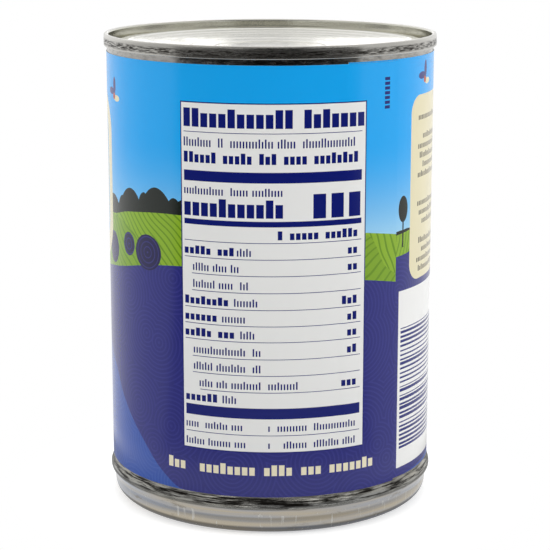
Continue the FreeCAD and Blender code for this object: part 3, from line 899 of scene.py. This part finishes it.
UNDER_SIDE = [(CHUCK_RADIUS + END_SHEET, HOOK_TOP, 0)] + [
    (radius, depth + END_SHEET, 0) for radius, depth in (
        (CHUCK_RADIUS + END_SHEET, SINK_DEPTH), (SINK_RADIUS - END_SHEET, SINK_DEPTH),
        (CREST_RADIUS - END_SHEET, CREST_DEPTH), (33.4, 1.74), (31.9, 1.80), (28.0, 2.35),
        (22.0, 2.78), (12.6, 3.34), (0, 3.50))
]
end_line = rounded([(radius, CAN_HEIGHT - depth, fillet)
                    for radius, depth, fillet in UPPER_SIDE + UNDER_SIDE], END_PACE)

# The seam's steel is outside the chuck wall, and the wall's own goes from its rounded top in to
# WALL_MARGIN and down to WALL_DEPTH.
SEAM_MARGIN = 0.1
WALL_MARGIN = 0.5
WALL_DEPTH = 3.2


def end_slot(radius, height):
    if radius > CHUCK_RADIUS + SEAM_MARGIN:
        return 1
    return 2 if radius > CHUCK_RADIUS - WALL_MARGIN and height > CAN_HEIGHT - WALL_DEPTH else 0


end = lathe("Stamped_steel_end", end_line[::-1], true_round, [end_steel, seam_steel, chuck_steel],
            end_slot)

label = wind_label([printed_paper(), raw_paper()])

for piece, node, slot in ((body, "can_body", "tinplate"), (end, "can_end", "end_steel"),
                          (label, "paper_label", "printed_paper")):
    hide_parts(node)
    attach(piece, "root")


# ---------------------------------------------------------------- stage, light and camera

# The directions of the dim side, in the room and on its floor.
ROOM_DIM = (0.105, -0.994, 0)
FLOOR_DIM = (-0.035, -0.999, 0)

# Ramps of light in the room: what each goes by, from and to which values of it, what the ramp is
# worth at both, and how it is eased. front is the cosine from the dim side's direction, and height
# is the sine of the angle above level.
ROOM_RAMPS = {
    "dim_side": ("front", 0.57, 0.75, 0, 1, "SMOOTHSTEP"),
    "other_sides": ("front", 0.1, -0.8, 0.72, 1, "SMOOTHSTEP"),
    "glow_top": ("height", 0.22, 0.34, 1.50, 0.13, "LINEAR"),
    "glow_foot": ("height", 0.06, 0.09, 0.02, 1, "LINEAR"),
    "screen_middle": ("front", 0.90, 0.965, 0, 1, "SMOOTHSTEP"),
    "screen_top": ("height", 0.23, 0.19, 0, 1, "LINEAR"),
    "overhead": ("height", 0.80, 0.97, 0, 1, "SMOOTHSTEP"),
}
SCREEN_DARKENS = 0.94
DIM_LIGHT = 0.02

# Strip lights at the room's back, low and high, on both sides of its middle: the middle and
# half-size of how far they are aside, as x over y, and of their height, as a sine.
STRIPS = [((0.040, 0.020), (0.13, 0.05)), ((0.18, 0.12), (0.56, 0.16))]
STRIP_LIGHT = 1.2

# Ramps of light on the floor, as for the room. distance is from the can's axis, in metres.
FLOOR_RAMPS = {
    "beside": ("front", 0.455, 0.41, 0, 0.72, "SMOOTHSTEP"),
    "behind": ("front", 0.2, -0.9, 0, 0.24, "SMOOTHSTEP"),
    "ring": ("distance", 0.070, 0.090, 0.62, 0, "LINEAR"),
    "outward": ("distance", 0.060, 0.36, 0.40, 0.006, "SMOOTHSTEP"),
    "foot": ("distance", 0.0395, 0.0475, 0.86, 0.40, "SMOOTHSTEP"),
    "past_shade": ("distance", 0.057, 0.065, 0.40, 1, "LINEAR"),
    "contact": ("distance", 0.0362, 0.0374, 0.36, 1, "LINEAR"),
    "open": ("distance", 0.037, 0.062, 0, 1, "SMOOTHSTEP"),
}
SHADOW_LIFT = 0.52
FLOOR_REACH = 4

# Soft lights that don't show in reflections: name, place, size in metres and power in watts.
LAMPS = [("Left_softbox", (-0.55, -0.42, 0.40), 0.5, 1.2),
         ("Right_softbox", (0.60, -0.35, 0.40), 0.5, 2.0),
         ("Top_softbox", (0, 0.1, 0.9), 0.7, 2.2)]
LAMPS_AIM = (0, 0, 0.05)


def set_world():
    """A white room with a dim side behind the camera, all plain white to the camera itself.

    Reflections show a glowing band low on its dim side, with a low dark screen before its middle,
    and strip lights at its back, low down and higher up.
    """
    world = bpy.data.worlds.new("White_room")
    bpy.context.scene.world = world
    world.use_nodes = True
    tree = world.node_tree
    tree.nodes.clear()
    light_path = add(tree, "ShaderNodeLightPath").outputs
    way = add(tree, "ShaderNodeTexCoord").outputs["Generated"]
    parts = add(tree, "ShaderNodeSeparateXYZ", [way]).outputs
    level = add(tree, VECTOR, [way, (1, 1, 0)], operation="MULTIPLY")
    flat = add(tree, VECTOR, [level], operation="NORMALIZE")
    front = add(tree, VECTOR, [flat, ROOM_DIM], operation="DOT_PRODUCT").outputs["Value"]
    known = {"front": front, "height": parts["Z"]}
    ramp = {}
    for name, (by, start, end, first, last, ease) in ROOM_RAMPS.items():
        ramp[name] = add(tree, MAP, {
            "Value": known[by], "From Min": start, "From Max": end,
            "To Min": first, "To Max": last}, interpolation_type=ease)

    band = add(tree, MATH, [ramp["glow_top"], ramp["glow_foot"]], operation="MULTIPLY")
    screen = add(tree, MATH, [ramp["screen_middle"], ramp["screen_top"]], operation="MULTIPLY")
    past_screen = add(tree, MATH, [screen, -SCREEN_DARKENS, 1], operation="MULTIPLY_ADD")
    glowing = add(tree, MATH, [band, past_screen], operation="MULTIPLY")
    dimmed = add(tree, MIX, {0: light_path["Is Glossy Ray"], 2: DIM_LIGHT, 3: glowing},
                 data_type="FLOAT")
    walls = add(tree, MIX, {0: ramp["dim_side"], 2: ramp["other_sides"], 3: dimmed},
                data_type="FLOAT")
    room = add(tree, MATH, [walls, ramp["overhead"]], operation="MAXIMUM")

    slant = add(tree, MATH, [parts["X"], parts["Y"]], operation="DIVIDE")
    aside = add(tree, MATH, [slant], operation="ABSOLUTE")
    strips = 0
    for across, upward in STRIPS:
        wide = add(tree, MATH, [aside, *across], operation="COMPARE")
        tall = add(tree, MATH, [parts["Z"], *upward], operation="COMPARE")
        strips = add(tree, MATH, [wide, tall, strips], operation="MULTIPLY_ADD")
    at_back = add(tree, MATH, [parts["Y"], 0], operation="GREATER_THAN")
    behind = add(tree, MATH, [strips, at_back], operation="MULTIPLY")
    mirrored = add(tree, MATH, [behind, light_path["Is Glossy Ray"]], operation="MULTIPLY")
    around = add(tree, MATH, [mirrored, STRIP_LIGHT, room], operation="MULTIPLY_ADD")
    strength = add(tree, MIX, {0: light_path["Is Camera Ray"], 2: around, 3: 1.0},
                   data_type="FLOAT")
    back = add(tree, "ShaderNodeBackground", [linear(WHITE), strength])
    add(tree, "ShaderNodeOutputWorld", [back])


def lay_floor():
    """A white table top that keeps the can's shadow.

    Seen by the camera it runs into the white of the room. In reflections it is bright at the can's
    foot, shaded round that, bright again in a ring, and falls off towards the room's dim side.
    """
    material, tree = new_material("White_table")
    light_path = add(tree, "ShaderNodeLightPath").outputs
    place = add(tree, "ShaderNodeTexCoord").outputs["Object"]
    distance = add(tree, VECTOR, [place], operation="LENGTH").outputs["Value"]
    way = add(tree, VECTOR, [place], operation="NORMALIZE")
    front = add(tree, VECTOR, [way, FLOOR_DIM], operation="DOT_PRODUCT").outputs["Value"]
    known = {"front": front, "distance": distance}
    ramp = {}
    for name, (by, start, end, first, last, ease) in FLOOR_RAMPS.items():
        ramp[name] = add(tree, MAP, {
            "Value": known[by], "From Min": start, "From Max": end,
            "To Min": first, "To Max": last}, interpolation_type=ease)

    around = add(tree, MATH, [ramp["beside"], ramp["behind"]], operation="ADD")
    near = add(tree, MATH, [ramp["ring"], ramp["outward"]], operation="ADD")
    open_light = add(tree, MATH, [near, around], operation="MAXIMUM")
    shade = add(tree, MATH, [ramp["foot"], ramp["past_shade"]], operation="MAXIMUM")
    shaded = add(tree, MATH, [shade, ramp["contact"]], operation="MULTIPLY")
    light = add(tree, MATH, [open_light, shaded], operation="MULTIPLY")

    grain = add(tree, NOISE, {"Vector": place, "Scale": 300})
    white = add(tree, MIX, {0: grain, 6: linear("#E4E4E4"), 7: linear("#E8E8E8")}, data_type="RGBA")
    matt = add(tree, "ShaderNodeBsdfDiffuse", {"Color": white.outputs[2]})
    lift = add(tree, "ShaderNodeEmission", {"Color": linear(WHITE), "Strength": SHADOW_LIFT})
    lifted = add(tree, "ShaderNodeAddShader", [matt, lift])
    room = add(tree, "ShaderNodeEmission", {"Color": linear(WHITE), "Strength": 1})
    seen = add(tree, "ShaderNodeMixShader", [ramp["open"], lifted, room])
    mirrored = add(tree, "ShaderNodeEmission", {"Color": linear(WHITE), "Strength": light})
    plain = add(tree, "ShaderNodeMixShader", [light_path["Is Glossy Ray"], matt, mirrored])
    shown = add(tree, "ShaderNodeMixShader", [light_path["Is Camera Ray"], plain, seen])
    add(tree, "ShaderNodeOutputMaterial", [shown])
    mesh = bpy.data.meshes.new("Floor")
    reach = FLOOR_REACH
    corners = [(-reach, -reach, 0), (reach, -reach, 0), (reach, reach, 0), (-reach, reach, 0)]
    mesh.from_pydata(corners, [], [(0, 1, 2, 3)])
    mesh.materials.append(material)
    floor = bpy.data.objects.new("Floor", mesh)
    bpy.context.scene.collection.objects.link(floor)


def aim(thing, spot):
    """Turns a lamp or a camera towards a spot."""
    way = Vector(spot) - thing.location
    thing.rotation_euler = way.to_track_quat("-Z", "Y").to_euler()


def hang_lamp(name, place, size, power):
    lamp = bpy.data.lights.new(name, "AREA")
    lamp.shape = "DISK"
    lamp.size = size
    lamp.energy = power
    holder = bpy.data.objects.new(name, lamp)
    holder.location = place
    holder.visible_glossy = False
    bpy.context.scene.collection.objects.link(holder)
    aim(holder, LAMPS_AIM)


def place_camera():
    lens = bpy.data.cameras.new("Camera")
    lens.sensor_width = 36
    lens.lens = 118.9
    lens.shift_x = 0.0088
    camera = bpy.data.objects.new("Camera", lens)
    camera.location = (0, -0.4087, 0.1396)
    bpy.context.scene.collection.objects.link(camera)
    aim(camera, (0, 0, 0.0499))
    bpy.context.scene.camera = camera


set_world()
lay_floor()
for lamp in LAMPS:
    hang_lamp(*lamp)
place_camera()
bpy.context.scene.view_settings.view_transform = "Standard"
